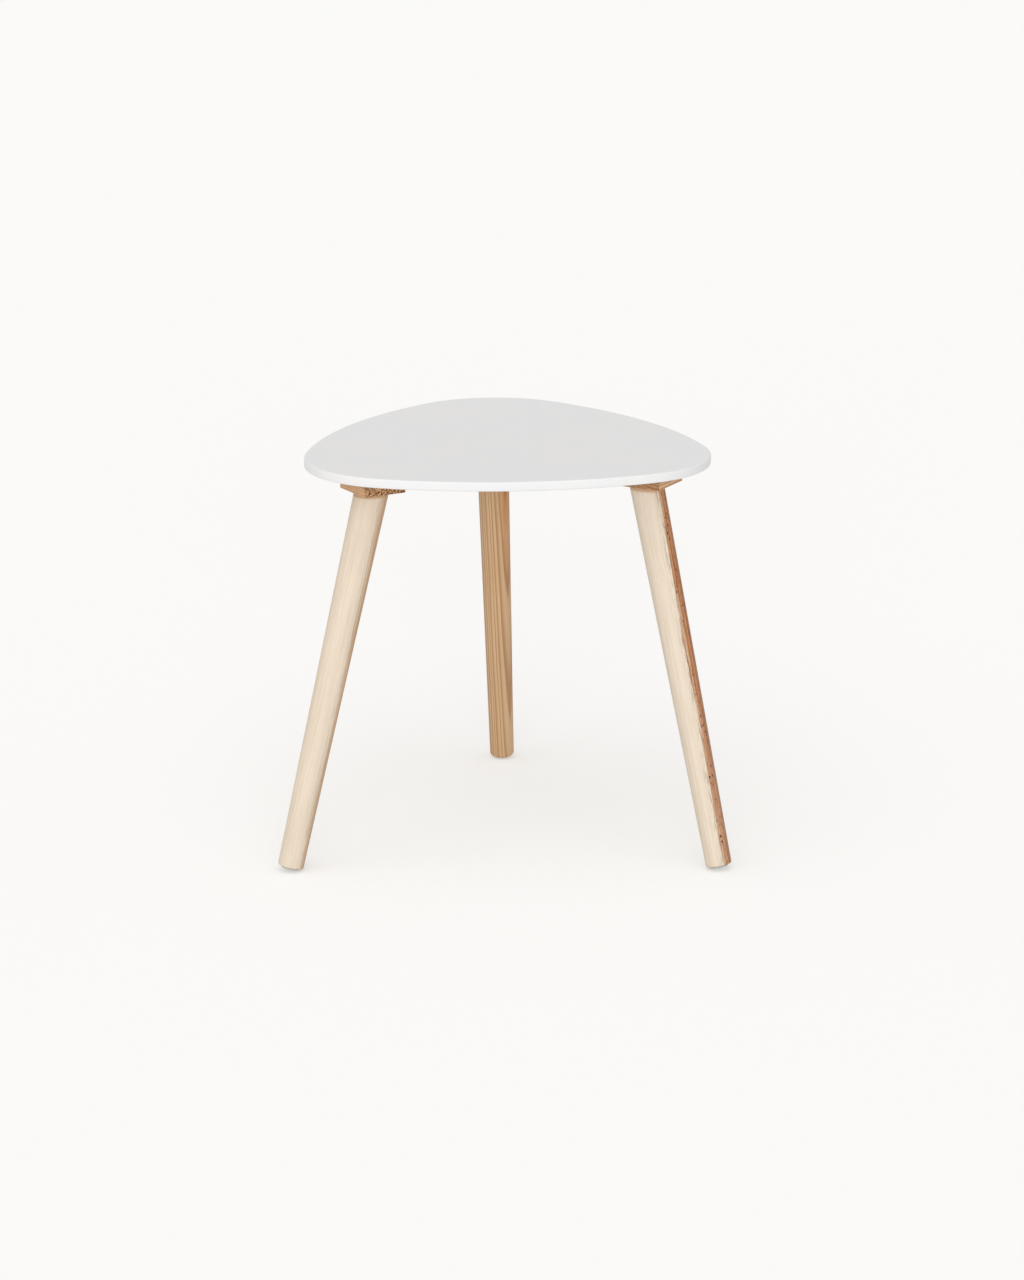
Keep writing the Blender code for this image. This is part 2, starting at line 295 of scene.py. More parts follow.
def scaled(tree, vector, scale, shift=(0, 0, 0)):
    return put(tree, "Mapping", {"Vector": vector, "Scale": scale, "Location": shift}).outputs["Vector"]


def noise(tree, vector, detail=3.0, roughness=0.55):
    inputs = {"Vector": vector, "Scale": 1.0, "Detail": detail, "Roughness": roughness}
    return put(tree, "TexNoise", inputs).outputs[0]


def spread(tree, value, low, high, toLow=0.0, toHigh=1.0, kind="LINEAR"):
    return put(tree, "MapRange", {
        "Value": value, "From Min": low, "From Max": high, "To Min": toLow, "To Max": toHigh,
    }, interpolation_type=kind).outputs[0]


def inMillimetres(tree):  # the place in the world, since every piece's object is at the origin
    place = put(tree, "TexCoord").outputs["Object"]
    return scaled(tree, place, 3 * (1 / millimetre,))


# Pine. The pattern lives in millimetres, with +Z along the grain and +X towards the table's front

pineGrain = {                  # waves per millimetre across, across and along the grain
    "wander": (0.022, 0.022, 0.0045),
    "streak": (0.62, 0.62, 0.011),
    "fine": (5.0, 5.0, 0.10),
    "patch": (0.07, 0.07, 0.016),
    "blot": (0.45, 0.45, 0.06),
    "dash": (1.5, 1.5, 0.13),
    "saw": (0.06, 0.06, 0.42),
    "poreAlong": 0.05,
    "year": 0.11,              # outwards from the pith
}

pineFades = {                  # where a mark begins and where it is full
    "streak": (0.62, 0.32),    # levels of a noise
    "fineStreak": (0.66, 0.36),
    "cloud": (0.40, 0.68),
    "blot": (0.49, 0.62),
    "dash": (0.58, 0.65),
    "pore": (0.47, 0.55),
    "speckPatch": (0.44, 0.56),
    "heartLine": (1.1, 0.3),   # millimetres outwards from the heartwood's edge
    # deep heartwood, whose darkening is partly painted shade on a leg's limb
    "deepHeartAndLimbShade": (-2.5, -7.0),
    "besideHeart": (7.0, 1.0),
    "outOfHeart": (-0.5, 0.5),
    "dashHeart": (1.2, -1.2),
    "speckHeart": (0.6, -0.6),
    "deepSpeck": (-10.0, -5.0),
    "cutEnd": (0.45, 0.85),    # how squarely the face lies across the grain
    "towardsFloor": (0.22, 0.08),              # metres above the floor
}


def pineMaterial(name, look, place):  # growth rings round a pith, heartwood inside and sapwood outside
    material = newMaterial(name)
    tree = material.node_tree
    coordinates = put(tree, "TexCoord")
    grain = put(tree, "Mapping", {
        "Vector": coordinates.outputs["Object"],
        "Location": place.to_translation(),
        "Rotation": place.to_euler(),
        "Scale": 3 * (millimetre,),
    }, vector_type="TEXTURE").outputs["Vector"]
    seeded = scaled(tree, grain, (1, 1, 1), 3 * (look["seed"],))

    # the fibres wander slowly along the length
    slow = scaled(tree, seeded, pineGrain["wander"])
    drift = put(tree, "TexNoise", {"Vector": slow, "Scale": 1.0, "Detail": 2.0}).outputs["Color"]
    drift = put(tree, "VectorMath", {0: drift, 1: (0.5, 0.5, 0.5)}, operation="SUBTRACT").outputs[0]
    sway = (look["wander"], look["wander"], 0)
    drift = put(tree, "VectorMath", {0: drift, 1: sway}, operation="MULTIPLY").outputs[0]
    bent = put(tree, "VectorMath", {0: seeded, 1: drift}, operation="ADD").outputs[0]

    pith = put(tree, "VectorMath", {0: grain, 1: drift}, operation="ADD").outputs[0]
    pith = put(tree, "Mapping", {
        "Vector": pith,
        "Location": (look["pith"][0], look["pith"][1], 0),
        "Rotation": (math.radians(look["tilt"][0]), math.radians(look["tilt"][1]), 0),
    }, vector_type="TEXTURE").outputs["Vector"]
    flat = put(tree, "VectorMath", {0: pith, 1: (1, 1, 0)}, operation="MULTIPLY").outputs[0]
    reach = put(tree, "VectorMath", {0: flat}, operation="LENGTH").outputs["Value"]

    # rings: a pale spring half and a dark late half, no two years the same width
    years = put(tree, "TexNoise", {
        "W": calc(tree, "MULTIPLY", reach, pineGrain["year"]), "Scale": 1.0, "Detail": 1.0,
    }, noise_dimensions="1D").outputs[0]
    count = calc(tree, "DIVIDE", reach, look["ringWidth"])
    count = calc(tree, "ADD", count, calc(tree, "MULTIPLY", years, look["years"]))
    start = look["lateStart"]
    late = ramp(tree, calc(tree, "FRACT", count), (
        (0.0, grey(0.30)), (0.07, grey(0.0)), (start * 0.6, grey(0.05)),
        (start, grey(0.40)), ((1 + start) / 2, grey(1.0)), (0.97, grey(0.9)), (1.0, grey(0.30)),
    ))

    # fibres in three sizes, all long and thin
    streaks = noise(tree, scaled(tree, bent, pineGrain["streak"]), 5.0, 0.65)
    fine = noise(tree, scaled(tree, bent, pineGrain["fine"]), 3.0, 0.6)
    patches = noise(tree, scaled(tree, seeded, pineGrain["patch"]))

    # heartwood begins near one ring, with a ragged edge, and may pale towards the floor
    ragged = calc(tree, "MULTIPLY", calc(tree, "SUBTRACT", streaks, 0.5), look["heartRagged"])
    beyond = calc(tree, "SUBTRACT", calc(tree, "ADD", reach, ragged), look["heartReach"])
    heart = spread(tree, beyond, look["heartSoft"], -look["heartSoft"], kind="SMOOTHSTEP")
    level = put(tree, "SeparateXYZ", {0: coordinates.outputs["Object"]}).outputs["Z"]
    pale = spread(tree, level, *pineFades["towardsFloor"], 1.0, 1.0 - look["heartFade"])
    heart = calc(tree, "MULTIPLY", heart, pale)

    sap = calc(tree, "MULTIPLY", late, look["sapContrast"])
    sap = mixColour(tree, sap, look["sapEarly"], look["sapLate"])
    core = calc(tree, "MULTIPLY", late, look["heartContrast"])
    core = mixColour(tree, core, look["heartEarly"], look["heartLate"])
    colour = mixColour(tree, heart, sap, core)
    line = spread(tree, calc(tree, "ABSOLUTE", beyond), *pineFades["heartLine"], 0.0, look["heartLine"])
    colour = mixColour(tree, line, colour, look["lineColour"], "MULTIPLY")
    # partly painted shade: the deep heartwood is darkened, and on the right leg this darkening paints the
    # shade on its right-hand limb
    deep = spread(tree, beyond, *pineFades["deepHeartAndLimbShade"], 0.0, look["heartDeepAndLimbShade"])
    colour = mixColour(tree, deep, colour, look["lineColour"], "MULTIPLY")

    dark = spread(tree, streaks, *pineFades["streak"])
    streaky = calc(tree, "MULTIPLY", dark, look["streak"])
    colour = mixColour(tree, streaky, colour, look["streakColour"], "MULTIPLY")
    dark = calc(tree, "MULTIPLY", calc(tree, "MULTIPLY", dark, heart), look["heartStreak"])
    colour = mixColour(tree, dark, colour, look["lineColour"], "MULTIPLY")
    dark = spread(tree, fine, *pineFades["fineStreak"], 0.0, look["fineStreak"])
    colour = mixColour(tree, dark, colour, look["streakColour"], "MULTIPLY")
    cloud = spread(tree, patches, *pineFades["cloud"], 0.0, look["cloud"])
    colour = mixColour(tree, cloud, colour, look["cloudColour"], "MULTIPLY")

    # greyish smudges on the sapwood beside the heartwood
    beside = spread(tree, beyond, *pineFades["besideHeart"])
    beside = calc(tree, "MULTIPLY", beside, spread(tree, beyond, *pineFades["outOfHeart"]))
    blots = noise(tree, scaled(tree, bent, pineGrain["blot"], (9, 0, 0)), 4.0, 0.65)
    smudge = spread(tree, blots, *pineFades["blot"], 0.0, look["smudge"])
    smudge = calc(tree, "MULTIPLY", beside, smudge)
    colour = mixColour(tree, smudge, colour, look["smudgeColour"], "MULTIPLY")

    # resin dashes, thickest in the heartwood and along its edge
    dashes = noise(tree, scaled(tree, bent, pineGrain["dash"], (0, 5, 0)), 3.0, 0.6)
    nearHeart = spread(tree, beyond, *pineFades["dashHeart"], look["dashSap"], look["dashHeart"])
    dash = calc(tree, "MULTIPLY", spread(tree, dashes, *pineFades["dash"]), nearHeart)
    cells = put(tree, "TexVoronoi", {
        "Vector": scaled(tree, bent, look["speckScale"], (0, 3, 0)), "Scale": 1.0, "Randomness": 1.0,
    })
    speck = spread(tree, cells.outputs["Distance"], look["speckSize"], look["speckSize"] * 0.6)
    rare = put(tree, "SeparateColor", {"Color": cells.outputs["Color"]}).outputs[0]
    speck = calc(tree, "MULTIPLY", speck, calc(tree, "GREATER_THAN", rare, look["speckRarity"]))
    inHeart = spread(tree, beyond, *pineFades["speckHeart"], look["speck"], look["heartSpeck"])
    deeper = spread(tree, beyond, *pineFades["deepSpeck"], look["deepSpeck"], 1.0)
    inHeart = calc(tree, "MULTIPLY", inHeart, deeper)
    inHeart = calc(tree, "MULTIPLY", inHeart, spread(tree, patches, *pineFades["speckPatch"], 0.1, 1.0))
    speck = calc(tree, "MAXIMUM", calc(tree, "MULTIPLY", speck, inHeart), dash, clamp=True)
    colour = mixColour(tree, speck, colour, look["speckColour"])

    # cut ends are darker, with open pores
    along = place.to_3x3() @ Vector((0, 0, 1))
    normal = coordinates.outputs["Normal"]
    ending = put(tree, "VectorMath", {0: normal, 1: along}, operation="DOT_PRODUCT")
    ending = calc(tree, "ABSOLUTE", ending.outputs["Value"])
    ending = spread(tree, ending, *pineFades["cutEnd"], kind="SMOOTHSTEP")
    poreGrain = (look["poreScale"], look["poreScale"], pineGrain["poreAlong"])
    pores = noise(tree, scaled(tree, bent, poreGrain, (4, 7, 0)), 4.0, 0.75)
    pores = calc(tree, "MULTIPLY", spread(tree, pores, *pineFades["pore"]), ending)
    colour = mixColour(tree, ending, colour, look["endColour"], "MULTIPLY")
    colour = mixColour(tree, calc(tree, "MULTIPLY", pores, look["pores"]), colour, look["poreColour"])

    # painted shade under the block, partly the leg's own darker top: the leg darkens just below its cut
    # end, down to a level in the world
    below = calc(tree, "DIVIDE", calc(tree, "SUBTRACT", look["topTintAndShadeFrom"], level), millimetre)
    ragged = calc(tree, "MULTIPLY", calc(tree, "SUBTRACT", streaks, 0.5), look["topTintAndShadeRagged"])
    below = calc(tree, "ADD", below, ragged)
    tintStarts, tintFull = look["topTintAndShadeReach"] + look["topTintAndShadeSoft"], look["topTintAndShadeReach"] - look["topTintAndShadeSoft"]
    topTintAndShade = spread(tree, below, tintStarts, tintFull, 0.0, look["topTintAndShade"])
    colour = mixColour(tree, topTintAndShade, colour, look["topTintAndShadeColour"])

    # saw marks cross the grain on rough-sawn pieces
    saw = put(tree, "TexWave", {
        "Vector": scaled(tree, grain, pineGrain["saw"]), "Scale": 1.0, "Distortion": 1.2, "Detail": 2.0,
    }, wave_type="BANDS", bands_direction="Z").outputs[1]

    # late wood is smoother and stands proud, while specks and pores are pits
    rough = calc(tree, "ADD", calc(tree, "MULTIPLY", late, -0.06), look["roughness"])
    rough = calc(tree, "ADD", rough, calc(tree, "MULTIPLY", fine, 0.12))
    height = calc(tree, "MULTIPLY", fine, 0.6)
    for mark, share in ((streaks, 0.5), (late, 0.35), (saw, look["saw"]), (speck, -0.7), (pores, -0.8)):
        height = calc(tree, "ADD", height, calc(tree, "MULTIPLY", mark, share))
    bump = put(tree, "Bump", {"Height": height, "Strength": look["bump"], "Distance": 0.12 * millimetre})
    shader = put(tree, "BsdfPrincipled", {
        "Base Color": colour, "Roughness": rough, "Normal": bump.outputs[0], "Specular IOR Level": 0.35,
    })
    closeTree(tree, shader.outputs[0])
    return material


legPine = {
    "seed": 11.0,
    "pith": (0.0, 70.0),                       # millimetres from the leg's middle
    "tilt": (-0.3, 0.0),                       # degrees between the pith and the leg
    "wander": 4.0,
    "ringWidth": 4.2,
    "years": 2.2,                              # how much one year differs from the next
    "lateStart": 0.62,
    "sapEarly": fromSrgb(231, 217, 199),
    "sapLate": fromSrgb(212, 192, 164),
    "sapContrast": 0.20,
    "heartEarly": fromSrgb(214, 152, 106),
    "heartLate": fromSrgb(160, 102, 64),
    "heartContrast": 0.75,
    "heartReach": 61.9,
    "heartSoft": 0.4,
    "heartRagged": 12.0,
    "heartStreak": 0.60,
    "heartLine": 0.75,
    "heartDeepAndLimbShade": 0.0,
    "heartFade": 0.0,                          # how much the heartwood pales towards the floor
    "lineColour": (0.60, 0.51, 0.38, 1),
    "streak": 0.42,
    "fineStreak": 0.32,
    "streakColour": (0.80, 0.74, 0.66, 1),
    "cloud": 0.45,
    "cloudColour": (0.90, 0.88, 0.85, 1),
    "smudge": 0.8,
    "smudgeColour": (0.50, 0.43, 0.37, 1),
    "dashSap": 0.0,
    "dashHeart": 0.9,
    "speck": 0.0,
    "heartSpeck": 0.0,
    "deepSpeck": 1.0,
    "speckScale": (0.30, 0.30, 0.075),
    "speckSize": 0.10,
    "speckRarity": 0.7,
    "speckColour": fromSrgb(104, 62, 38),
    "endColour": (0.72, 0.62, 0.52, 1),
    "poreScale": 1.6,
    "pores": 0.35,
    "poreColour": fromSrgb(128, 88, 58),
    # painted shade under the block, partly the leg's own darker top, reaching down from the cut
    "topTintAndShade": 0.85,
    "topTintAndShadeFrom": 0.0,
    "topTintAndShadeReach": 4.5,                          # millimetres below the cut
    "topTintAndShadeSoft": 1.2,
    "topTintAndShadeRagged": 2.0,
    "topTintAndShadeColour": fromSrgb(194, 154, 116),
    "saw": 0.0,
    "roughness": 0.50,
    "bump": 0.5,
}

legLooks = {
    "left": {
        **legPine, "tilt": (-0.39, 0.0), "heartReach": 57.0, "heartSoft": 2.8, "smudge": 0.3,
        "heartEarly": fromSrgb(209, 177, 143), "heartLate": fromSrgb(192, 150, 112), "heartStreak": 0.1,
        "heartLine": 0.0, "dashHeart": 0.1, "speck": 0.6, "speckSize": 0.07, "speckRarity": 0.9,
        # the left leg's painted shade under its block reaches further down
        "topTintAndShadeReach": 6.0,
    },
    "right": {
        **legPine, "seed": 31.0, "tilt": (-0.67, 0.0), "sapEarly": fromSrgb(232, 219, 202),
        # the right leg's deep heartwood darkening is partly painted shade on its right-hand limb
        "heartReach": 60.6, "heartSoft": 2.2, "heartLine": 0.4, "heartDeepAndLimbShade": 0.48, "heartFade": 0.20,
        "heartSpeck": 1.0, "deepSpeck": 0.15,
        "speckScale": (0.36, 0.06, 0.15), "speckSize": 0.33,
        "speckRarity": 0.40, "speckColour": fromSrgb(84, 46, 26),
    },
    "back": {
        **legPine, "seed": 52.0, "pith": (64.3, 76.6), "tilt": (0.615, -0.516),
        "ringWidth": 3.6, "lateStart": 0.60, "years": 1.6,
        "sapEarly": fromSrgb(214, 181, 142), "sapLate": fromSrgb(172, 124, 82), "sapContrast": 0.80,
        "heartReach": 85.4, "heartEarly": fromSrgb(206, 150, 100), "heartLate": fromSrgb(172, 112, 66),
        "heartSoft": 2.5, "heartRagged": 5.0, "heartStreak": 0.1, "heartLine": 0.0, "dashHeart": 0.05,
        "smudge": 0.1,
    },
}

blockPine = {
    **legPine,
    "seed": 71.0,
    "pith": (26.0, -30.0),                     # millimetres from the block's middle, out and down
    "tilt": (0.0, 0.0),
    "wander": 3.0,
    "ringWidth": 3.0,
    "lateStart": 0.55,
    "heartReach": 900.0,
    "heartEarly": fromSrgb(222, 176, 132),
    "heartLate": fromSrgb(176, 122, 80),
    "heartContrast": 0.85,
    "heartStreak": 0.30,
    "heartLine": 0.0,
    "dashHeart": 0.35,
    "cloud": 0.5,
    "endColour": (0.80, 0.72, 0.62, 1),
    "pores": 0.7,
    "poreColour": fromSrgb(74, 42, 24),
    "topTintAndShade": 0.0,
    "saw": 1.1,
    "roughness": 0.62,
    "bump": 0.9,
}

blockLooks = {
    "left": {
        **blockPine, "poreScale": 0.46, "pores": 0.95, "poreColour": fromSrgb(48, 25, 12),
        "heartEarly": fromSrgb(240, 198, 156), "heartLate": fromSrgb(200, 146, 104),
        "endColour": (1.0, 0.92, 0.80, 1),
    },
    "right": {
        **blockPine, "seed": 84.0, "pith": (22.0, -39.0), "pores": 0.4,
        "heartEarly": fromSrgb(238, 198, 157), "heartLate": fromSrgb(190, 134, 90),
    },
    "back": {**blockPine, "seed": 97.0, "pith": (-30.0, -24.0)},
}


lacquer = {
    "dim": fromSrgb(228, 228, 229),
    "light": fromSrgb(231, 230, 229),
    "haze": 0.012,                             # waves per millimetre, as are the next two
    "peel": 0.45,
    "dust": 0.085,
    "smoothest": 0.38,
    "roughest": 0.46,
}


def lacquerMaterial(look):  # sprayed satin white over fibreboard
    material = newMaterial("whiteLacquer")
    tree = material.node_tree
    place = inMillimetres(tree)
    haze = noise(tree, scaled(tree, place, 3 * (look["haze"],)), 4.0)
    peel = noise(tree, scaled(tree, place, 3 * (look["peel"],)), 2.0)
    dust = put(tree, "TexVoronoi", {"Vector": place, "Scale": look["dust"]}).outputs["Distance"]
    dust = spread(tree, dust, 0.035, 0.01)
    colour = ramp(tree, haze, ((0.35, look["dim"]), (0.65, look["light"])))
    rough = spread(tree, haze, 0.3, 0.7, look["smoothest"], look["roughest"])
    height = calc(tree, "ADD", peel, calc(tree, "MULTIPLY", dust, 0.5))
    bump = put(tree, "Bump", {"Height": height, "Strength": 0.25, "Distance": 0.05 * millimetre})
    shader = put(tree, "BsdfPrincipled", {
        "Base Color": colour, "Roughness": rough, "Normal": bump.outputs[0],
    })
    closeTree(tree, shader.outputs[0])
    return material


zincGrain = {"bloom": 0.6, "grit": 6.0}        # waves per millimetre

brightZinc = {
    "dull": (0.56, 0.58, 0.62), "clean": (0.72, 0.71, 0.68),
    "smoothest": 0.26, "roughest": 0.44, "grit": 0.25,
}
castZinc = {
    "dull": (0.44, 0.45, 0.47), "clean": (0.60, 0.60, 0.60),
    "smoothest": 0.42, "roughest": 0.60, "grit": 0.60,
}
yellowZinc = {
    "dull": (0.60, 0.47, 0.26), "clean": (0.78, 0.66, 0.42),
    "smoothest": 0.24, "roughest": 0.42, "grit": 0.25,
}


def zincMaterial(name, look):  # plated steel or cast zinc with a faint bloom
    material = newMaterial(name)
    tree = material.node_tree
    place = inMillimetres(tree)
    bloom = noise(tree, scaled(tree, place, 3 * (zincGrain["bloom"],)), 4.0)
    grit = noise(tree, scaled(tree, place, 3 * (zincGrain["grit"],)), 2.0)
    colour = ramp(tree, bloom, ((0.35, look["dull"]), (0.65, look["clean"])))
    rough = spread(tree, bloom, 0.3, 0.7, look["smoothest"], look["roughest"])
    bump = put(tree, "Bump", {"Height": grit, "Strength": look["grit"], "Distance": 0.02 * millimetre})
    shader = put(tree, "BsdfPrincipled", {
        "Base Color": colour, "Roughness": rough, "Metallic": 1.0, "Normal": bump.outputs[0],
    })
    closeTree(tree, shader.outputs[0])
    return material


felt = {
    "shade": fromSrgb(174, 173, 170),
    "body": fromSrgb(200, 199, 196),
    "tips": fromSrgb(218, 217, 214),
    "tufts": 1.6,                              # waves per millimetre
    "hairs": 5.0,
}


def feltMaterial(look):  # pressed pale grey felt
    material = newMaterial("greyFelt")
    tree = material.node_tree
    place = inMillimetres(tree)
    tufts = put(tree, "TexNoise", {
        "Vector": place, "Scale": look["tufts"], "Detail": 6.0, "Roughness": 0.7, "Distortion": 1.5,
    }).outputs[0]
    hairs = put(tree, "TexNoise", {
        "Vector": place, "Scale": look["hairs"], "Detail": 3.0, "Distortion": 3.0,
    }).outputs[0]
    colour = ramp(tree, tufts, ((0.3, look["shade"]), (0.5, look["body"]), (0.72, look["tips"])))
    height = calc(tree, "ADD", tufts, calc(tree, "MULTIPLY", hairs, 0.6))
    bump = put(tree, "Bump", {"Height": height, "Strength": 1.0, "Distance": 0.25 * millimetre})
    shader = put(tree, "BsdfPrincipled", {
        "Base Color": colour, "Roughness": 0.95, "Normal": bump.outputs[0], "Sheen Weight": 0.3,
    })
    closeTree(tree, shader.outputs[0])
    return material


legSizes = {
    "reach": 0.172,            # table's middle to the leg bolt
    "splay": 13.65,
    "turn": -10.7,             # from the corner's direction to the way the leg leans
    "topDiameter": 0.0372,
    "footDiameter": 0.0285,
    "footRound": 0.0015,
    "footSegments": 5,
    "footInset": 0.003,
    "vertices": 96,
    "boreDiameter": 0.0086,
    "boreDepth": 0.0328,
    "boreVertices": 32,
    "spare": 0.012,            # length left above the level cut
    "padDiameter": 0.0200,
    "padThickness": 0.0020,
    "padRound": 0.0004,
    "padSegments": 3,
    "padInsets": (0.0015, 0.0030, 0.0030),     # each inside the one before
    "padVertices": 64,
    "gap": 0.0003,             # between two pieces that touch in the real table
}

splay = math.radians(legSizes["splay"])
legTopLevel = blockLow.z - legSizes["gap"]
padFlat = legSizes["padDiameter"] / 2 - legSizes["padRound"]
padLevel = padFlat * math.sin(splay) + legSizes["padRound"] * (1 - math.cos(splay))
padDrop = (legTopLevel - padLevel) / math.cos(splay)
legLength = padDrop - legSizes["padThickness"] - legSizes["gap"]
lean = Matrix.Rotation(math.radians(legSizes["turn"]), 4, "Z") @ Matrix.Rotation(-splay, 4, "Y")


def stationMatrix(azimuth):
    turn = Matrix.Rotation(math.radians(azimuth), 4, "Z")
    outwards = Matrix.Translation((legSizes["reach"], 0, legTopLevel))
    return Matrix.Translation(tableAxis) @ turn @ outwards


blockSizes = {
    "length": 0.050,           # along the corner's direction
    "width": 0.0555,           # along the grain
    "turn": -3.7,
    "setout": 0.002,
    "sidestep": 0.005,
    "edgeBreak": 0.0006,
    "edgeSegments": 3,
    "screwInset": 0.0065,      # from the block's sides to a screw
    "screwHole": 0.00205,      # radii
    "sinkHole": 0.0038,
    "sinkRim": 0.0007,
    "insertHole": 0.00605,
    "flangeHole": 0.0078,
    "flangeDepth": 0.0018,
    "insertDepth": 0.0155,
}

screwSizes = {
    "length": 0.025,
    "headRadius": 0.0035,
    "headRim": 0.0004,
    "shankRadius": 0.00122,
    "threadLow": 0.0110,       # from the head to the first turn
    "pointLength": 0.0025,
    "gripDepth": 0.0055,       # hole in the board above the block
    "recessSpan": 0.0038,
    "recessWidth": 0.0008,
    "recessDepth": 0.0013,
    "recessTaper": (0.45, 0.7, 1),             # the recess's floor against its mouth
    "clearance": 0.0002,       # from the thread to the shape that trims it
    "endClearance": 0.0003,
    "trimOverlap": 0.001,
    "bodyOverlap": 0.0003,     # how far the head's shape runs into the thread
    "neckAbove": 0.0004,       # the fillet under the head
    "neckBelow": 0.0002,
    "neckOut": 0.0003,
    "rimBreak": 0.0001,
    "turnBetween": 37,         # degrees from one screw's recess to the next one's
    "steps": 24,               # round the thread
    "turnSteps": 48,
    "pointSteps": 32,
    "thread": {"root": 0.00115, "crest": 0.00175, "pitch": 0.00145, "share": 0.55},
}

blockHeight = boardLow.z - legSizes["gap"] - blockLow.z
blockMatrix = (
    Matrix.Translation((blockSizes["setout"], blockSizes["sidestep"], legSizes["gap"]))
    @ Matrix.Rotation(math.radians(blockSizes["turn"]), 4, "Z")
)
screwSpots = [
    Vector((
        across * (blockSizes["length"] / 2 - blockSizes["screwInset"]),
        aside * (blockSizes["width"] / 2 - blockSizes["screwInset"]),
        0,
    ))
    for across, aside in ((1, 1), (-1, 1), (-1, -1), (1, -1))
]


def drillHoles(name, section, places):  # one cutter holding a turned shape at each place
    drill = turnedPiece(name, section, cutterSteps)
    for place in places[1:]:
        placedCopy(drill, name + "Copy", place).select_set(True)
    drill.data.transform(places[0])
    drill.select_set(True)
    bpy.context.view_layer.objects.active = drill
    if len(places) > 1:
        bpy.ops.object.join()
    return drill


# The board: an outline spun from six arcs, thickened, with a rounded rim

def makeBoard(material):
    sizes = boardSizes
    thickness = boardHigh.z - boardLow.z
    sixth = math.radians(60)                   # from a corner's direction to the next side's
    halfChord = sizes["cornerReach"] * math.sin(sixth)
    chordOffset = sizes["cornerReach"] * math.cos(sixth)
    between = sizes["sideRadius"] - sizes["cornerRadius"]      # from an arc's centre to the next one's
    sideCentre = math.sqrt(between ** 2 - halfChord ** 2) - chordOffset
    sideHalf = math.atan2(halfChord, sideCentre + chordOffset)
    cornerHalf = sixth - sideHalf

    board = startPoint("boardTop", 0, boardLow.z)
    firstAngle = math.radians(min(stations.values()))
    cornerMiddle = Vector((math.cos(firstAngle), math.sin(firstAngle), 0)) * sizes["cornerReach"]
    towards = Vector((math.cos(firstAngle - cornerHalf), math.sin(firstAngle - cornerHalf), 0))
    start = tableAxis + cornerMiddle + towards * sizes["cornerRadius"]
    bpy.ops.transform.translate(value=start)
    for azimuth in sorted(stations.values()):
        corner = math.radians(azimuth)
        side = corner + sixth
        arcs = (
            (sizes["cornerReach"], corner, cornerHalf, sizes["cornerSteps"]),
            (-sideCentre, side, sideHalf, sizes["sideSteps"]),
        )
        for reach, angle, half, steps in arcs:
            centre = tableAxis + Vector((math.cos(angle), math.sin(angle), 0)) * reach
            bpy.ops.mesh.spin(steps=steps, angle=-2 * half, center=centre, axis=(0, 0, 1))
    bpy.ops.mesh.select_all(action="SELECT")
    bpy.ops.mesh.remove_doubles(threshold=sizes["seam"])
    bpy.ops.mesh.edge_face_add()
    bpy.ops.mesh.extrude_region_move(TRANSFORM_OT_translate={"value": (0, 0, thickness)})
    bpy.ops.mesh.select_all(action="SELECT")
    bpy.ops.mesh.normals_make_consistent(inside=False)
    pick(board, "EDGE", lambda e: edgeAt(boardLow.z)(e) or edgeAt(boardHigh.z)(e))
    bpy.ops.mesh.bevel(offset=sizes["edgeRound"], segments=sizes["edgeSegments"], affect="EDGES")
    pick(board, "FACE", lambda f: abs(f.normal.z) > 0.999 and len(f.verts) > 8)
    bpy.ops.mesh.inset(thickness=sizes["rimInset"])
    closeEdit()
    radius = blockSizes["screwHole"]
    low, high = blockHeight - overrun, blockHeight + screwSizes["gripDepth"]
    pilot = drillHoles("pilotCutter", (
        (0, high), (radius, high), (radius, low), (0, low),
    ), [stationMatrix(azimuth) @ blockMatrix @ Matrix.Translation(spot)
        for azimuth in stations.values() for spot in screwSpots])
    combine(board, pilot)
    smoothed(board, 40)
    finishPiece(board, material, "white_lacquer", "table_top")
    print("board done")


